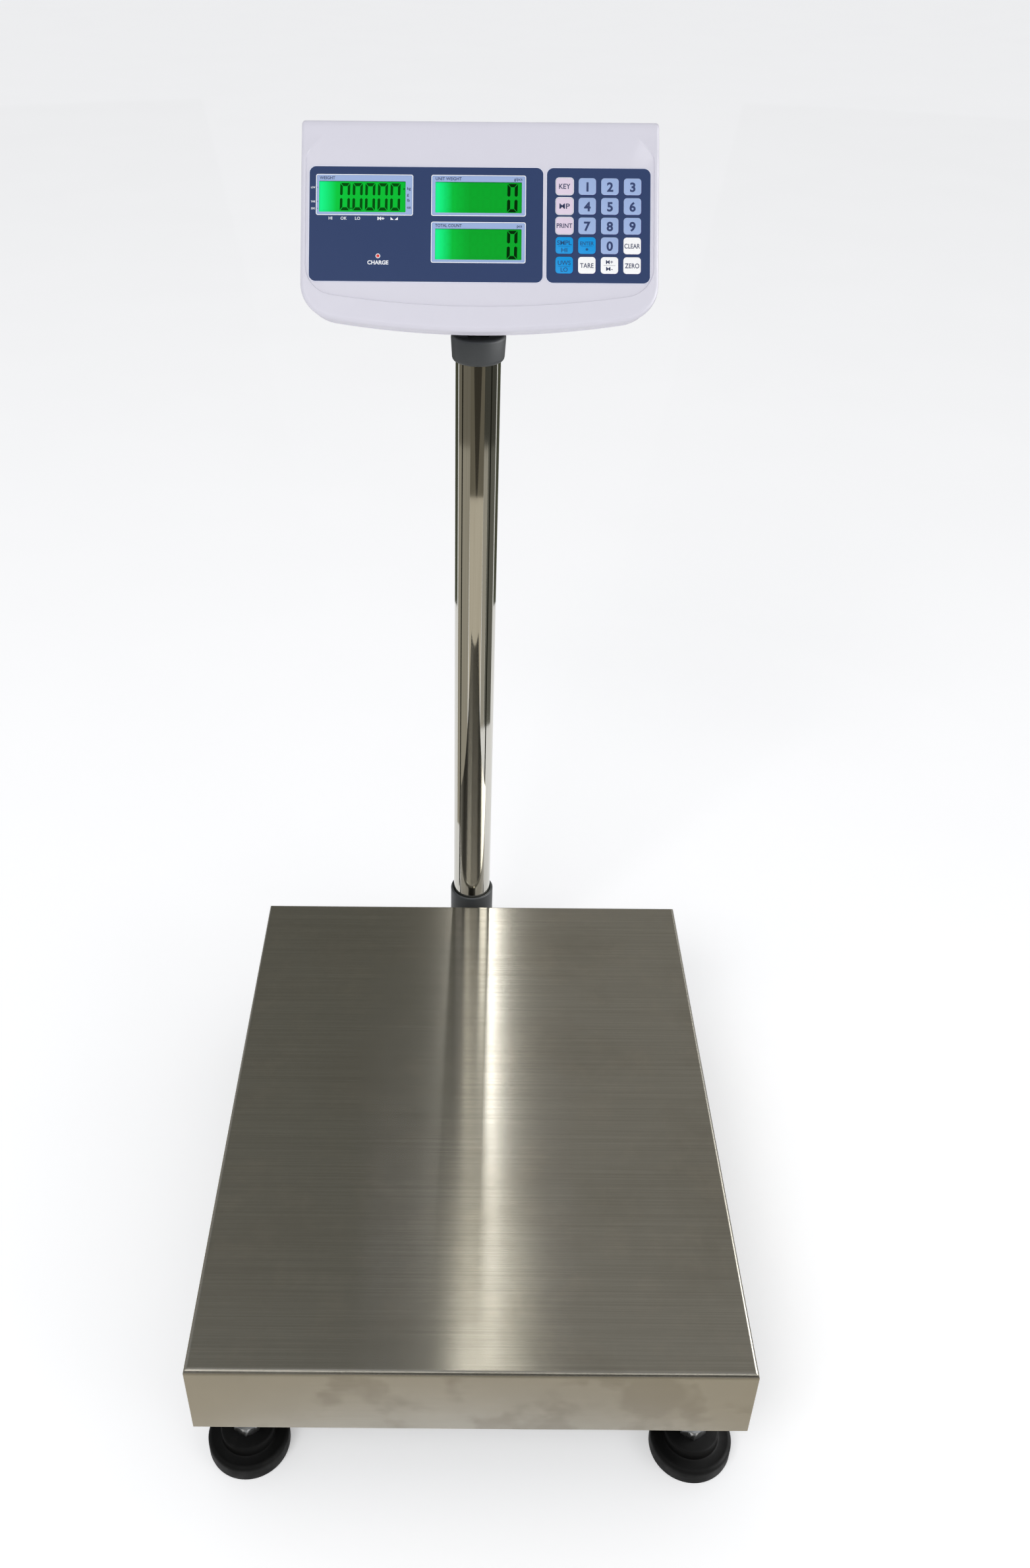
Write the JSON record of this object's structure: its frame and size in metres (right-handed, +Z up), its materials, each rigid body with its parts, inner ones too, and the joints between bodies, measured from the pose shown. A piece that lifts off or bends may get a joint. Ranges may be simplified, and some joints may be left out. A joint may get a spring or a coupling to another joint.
{
  "type": "platform counting scale",
  "caption": "Free-standing platform counting scale: stainless pan on a load cell frame with levelling feet, pole, and a tilting indicator with displays and keypad.",
  "frame": {"origin": "on the floor, under the middle of the whole object's box", "axes": "+Z up, the front of the platform and the indicator's face look towards -Y, +X to the user's right"},
  "size_m": [0.4, 0.6108, 0.8417],
  "materials": {
    "frame_paint": "grey stoved paint, satin",
    "zinc_steel": "bright zinc plate",
    "cell_aluminium": "milled, clear anodised",
    "cable_jacket": "black PVC jacket",
    "foot_rubber": "black moulded rubber, dull",
    "pan_stainless": "brushed stainless sheet, grain across the width",
    "pole_stainless": "mirror-polished stainless tube",
    "dark_plastic": "dark grey moulded plastic, fine texture",
    "case_plastic": "pale lavender-grey moulded ABS",
    "circuit_board": "green solder mask",
    "lcd_green": "backlit green display",
    "overlay_navy": "printed polycarbonate overlay, slate navy",
    "led_red": "red lamp lens",
    "battery_case": "black ABS",
    "port_metal": "tin-plated shell",
    "black_plastic": "black moulded plastic",
    "rocker_red": "red moulded rocker",
    "key_blue": "printed periwinkle key field",
    "key_pink": "printed pale pink key field with white edge",
    "key_cyan": "printed bright blue key field",
    "key_white": "printed white key field"
  },
  "bodies": {
    "base": {"base_frame": "frame_paint", "foot_locknuts": "zinc_steel", "load_cell": "cell_aluminium", "lower_cell_bolts": "zinc_steel", "overload_stops": "zinc_steel", "pole_bracket": "frame_paint", "bracket_bolts": "zinc_steel", "pole_collar": "dark_plastic", "pole": "pole_stainless", "pole_screw": "zinc_steel", "signal_cable": "cable_jacket"},
    "load_receptor": {"upper_frame": "frame_paint", "upper_cell_bolts": "zinc_steel", "pan_cushions": "foot_rubber"},
    "pan": {"weighing_pan": "pan_stainless"},
    "foot_front_left": {"foot_pad_fl": "foot_rubber", "foot_stud_fl": "zinc_steel"},
    "foot_front_right": {"foot_pad_fr": "foot_rubber", "foot_stud_fr": "zinc_steel"},
    "foot_rear_left": {"foot_pad_rl": "foot_rubber", "foot_stud_rl": "zinc_steel"},
    "foot_rear_right": {"foot_pad_rr": "foot_rubber", "foot_stud_rr": "zinc_steel"},
    "neck": {"neck": "dark_plastic", "tilt_bolt": "zinc_steel"},
    "head": {"front_case": "case_plastic", "rear_case": "case_plastic", "case_screws": "zinc_steel", "head_bracket": "zinc_steel", "bracket_screws": "zinc_steel", "main_board": "circuit_board", "lcd_modules": "lcd_green", "display_label": "overlay_navy", "keypad_label": "overlay_navy", "charge_led": "led_red", "battery": "battery_case", "serial_port": "port_metal", "power_jack": "black_plastic", "switch_housing": "black_plastic"},
    "power_switch": {"switch_rocker": "rocker_red"},
    "key_code": {"key_code": "key_pink"},
    "key_1": {"key_1": "key_blue"},
    "key_2": {"key_2": "key_blue"},
    "key_3": {"key_3": "key_blue"},
    "key_memory_plus": {"key_memory_plus": "key_pink"},
    "key_4": {"key_4": "key_blue"},
    "key_5": {"key_5": "key_blue"},
    "key_6": {"key_6": "key_blue"},
    "key_print": {"key_print": "key_pink"},
    "key_7": {"key_7": "key_blue"},
    "key_8": {"key_8": "key_blue"},
    "key_9": {"key_9": "key_blue"},
    "key_sample": {"key_sample": "key_cyan"},
    "key_point": {"key_point": "key_cyan"},
    "key_0": {"key_0": "key_blue"},
    "key_clear": {"key_clear": "key_white"},
    "key_unit_weight": {"key_unit_weight": "key_cyan"},
    "key_tare": {"key_tare": "key_white"},
    "key_memory_clear": {"key_memory_clear": "key_white"},
    "key_zero": {"key_zero": "key_white"}
  },
  "joints": [
    {"name": "weighing_travel", "type": "slide", "parent": "base", "child": "load_receptor", "axis": [0, 0, 1], "range_m": [-0.0006, 0], "stiffness_N_per_m": 2500000, "springref_m": 0.00006, "deforming": ["load_cell"]},
    {"name": "pan_lift", "type": "slide", "parent": "load_receptor", "child": "pan", "axis": [0, 0, 1], "range_m": [0, 0.09]},
    {"name": "head_swivel", "type": "hinge", "parent": "base", "child": "neck", "pos_m": [0, 0.22756, 0.694], "axis": [0, 0, 1], "range_deg": [-90, 90]},
    {"name": "head_tilt", "type": "hinge", "parent": "neck", "child": "head", "pos_m": [0, 0.22756, 0.704], "axis": [1, 0, 0], "range_deg": [-30, 18]},
    {"name": "level_front_left", "type": "slide", "parent": "base", "child": "foot_front_left", "axis": [0, 0, 1], "range_m": [-0.012, 0.004]},
    {"name": "level_front_right", "type": "slide", "parent": "base", "child": "foot_front_right", "axis": [0, 0, 1], "range_m": [-0.012, 0.004]},
    {"name": "level_rear_left", "type": "slide", "parent": "base", "child": "foot_rear_left", "axis": [0, 0, 1], "range_m": [-0.012, 0.004]},
    {"name": "level_rear_right", "type": "slide", "parent": "base", "child": "foot_rear_right", "axis": [0, 0, 1], "range_m": [-0.012, 0.004]},
    {"name": "power_rock", "type": "hinge", "parent": "head", "child": "power_switch", "pos_m": [0.092, 0.27083, 0.76375], "axis": [1, 0, 0], "range_deg": [0, 12]},
    {"name": "press_code", "type": "slide", "parent": "head", "child": "key_code", "axis": [0, 0.8111, -0.585], "range_m": [0, 0.0005], "stiffness_N_per_m": 3000},
    {"name": "press_1", "type": "slide", "parent": "head", "child": "key_1", "axis": [0, 0.8111, -0.585], "range_m": [0, 0.0005], "stiffness_N_per_m": 3000},
    {"name": "press_2", "type": "slide", "parent": "head", "child": "key_2", "axis": [0, 0.8111, -0.585], "range_m": [0, 0.0005], "stiffness_N_per_m": 3000},
    {"name": "press_3", "type": "slide", "parent": "head", "child": "key_3", "axis": [0, 0.8111, -0.585], "range_m": [0, 0.0005], "stiffness_N_per_m": 3000},
    {"name": "press_memory_plus", "type": "slide", "parent": "head", "child": "key_memory_plus", "axis": [0, 0.8111, -0.585], "range_m": [0, 0.0005], "stiffness_N_per_m": 3000},
    {"name": "press_4", "type": "slide", "parent": "head", "child": "key_4", "axis": [0, 0.8111, -0.585], "range_m": [0, 0.0005], "stiffness_N_per_m": 3000},
    {"name": "press_5", "type": "slide", "parent": "head", "child": "key_5", "axis": [0, 0.8111, -0.585], "range_m": [0, 0.0005], "stiffness_N_per_m": 3000},
    {"name": "press_6", "type": "slide", "parent": "head", "child": "key_6", "axis": [0, 0.8111, -0.585], "range_m": [0, 0.0005], "stiffness_N_per_m": 3000},
    {"name": "press_print", "type": "slide", "parent": "head", "child": "key_print", "axis": [0, 0.8111, -0.585], "range_m": [0, 0.0005], "stiffness_N_per_m": 3000},
    {"name": "press_7", "type": "slide", "parent": "head", "child": "key_7", "axis": [0, 0.8111, -0.585], "range_m": [0, 0.0005], "stiffness_N_per_m": 3000},
    {"name": "press_8", "type": "slide", "parent": "head", "child": "key_8", "axis": [0, 0.8111, -0.585], "range_m": [0, 0.0005], "stiffness_N_per_m": 3000},
    {"name": "press_9", "type": "slide", "parent": "head", "child": "key_9", "axis": [0, 0.8111, -0.585], "range_m": [0, 0.0005], "stiffness_N_per_m": 3000},
    {"name": "press_sample", "type": "slide", "parent": "head", "child": "key_sample", "axis": [0, 0.8111, -0.585], "range_m": [0, 0.0005], "stiffness_N_per_m": 3000},
    {"name": "press_point", "type": "slide", "parent": "head", "child": "key_point", "axis": [0, 0.8111, -0.585], "range_m": [0, 0.0005], "stiffness_N_per_m": 3000},
    {"name": "press_0", "type": "slide", "parent": "head", "child": "key_0", "axis": [0, 0.8111, -0.585], "range_m": [0, 0.0005], "stiffness_N_per_m": 3000},
    {"name": "press_clear", "type": "slide", "parent": "head", "child": "key_clear", "axis": [0, 0.8111, -0.585], "range_m": [0, 0.0005], "stiffness_N_per_m": 3000},
    {"name": "press_unit_weight", "type": "slide", "parent": "head", "child": "key_unit_weight", "axis": [0, 0.8111, -0.585], "range_m": [0, 0.0005], "stiffness_N_per_m": 3000},
    {"name": "press_tare", "type": "slide", "parent": "head", "child": "key_tare", "axis": [0, 0.8111, -0.585], "range_m": [0, 0.0005], "stiffness_N_per_m": 3000},
    {"name": "press_memory_clear", "type": "slide", "parent": "head", "child": "key_memory_clear", "axis": [0, 0.8111, -0.585], "range_m": [0, 0.0005], "stiffness_N_per_m": 3000},
    {"name": "press_zero", "type": "slide", "parent": "head", "child": "key_zero", "axis": [0, 0.8111, -0.585], "range_m": [0, 0.0005], "stiffness_N_per_m": 3000}
  ]
}
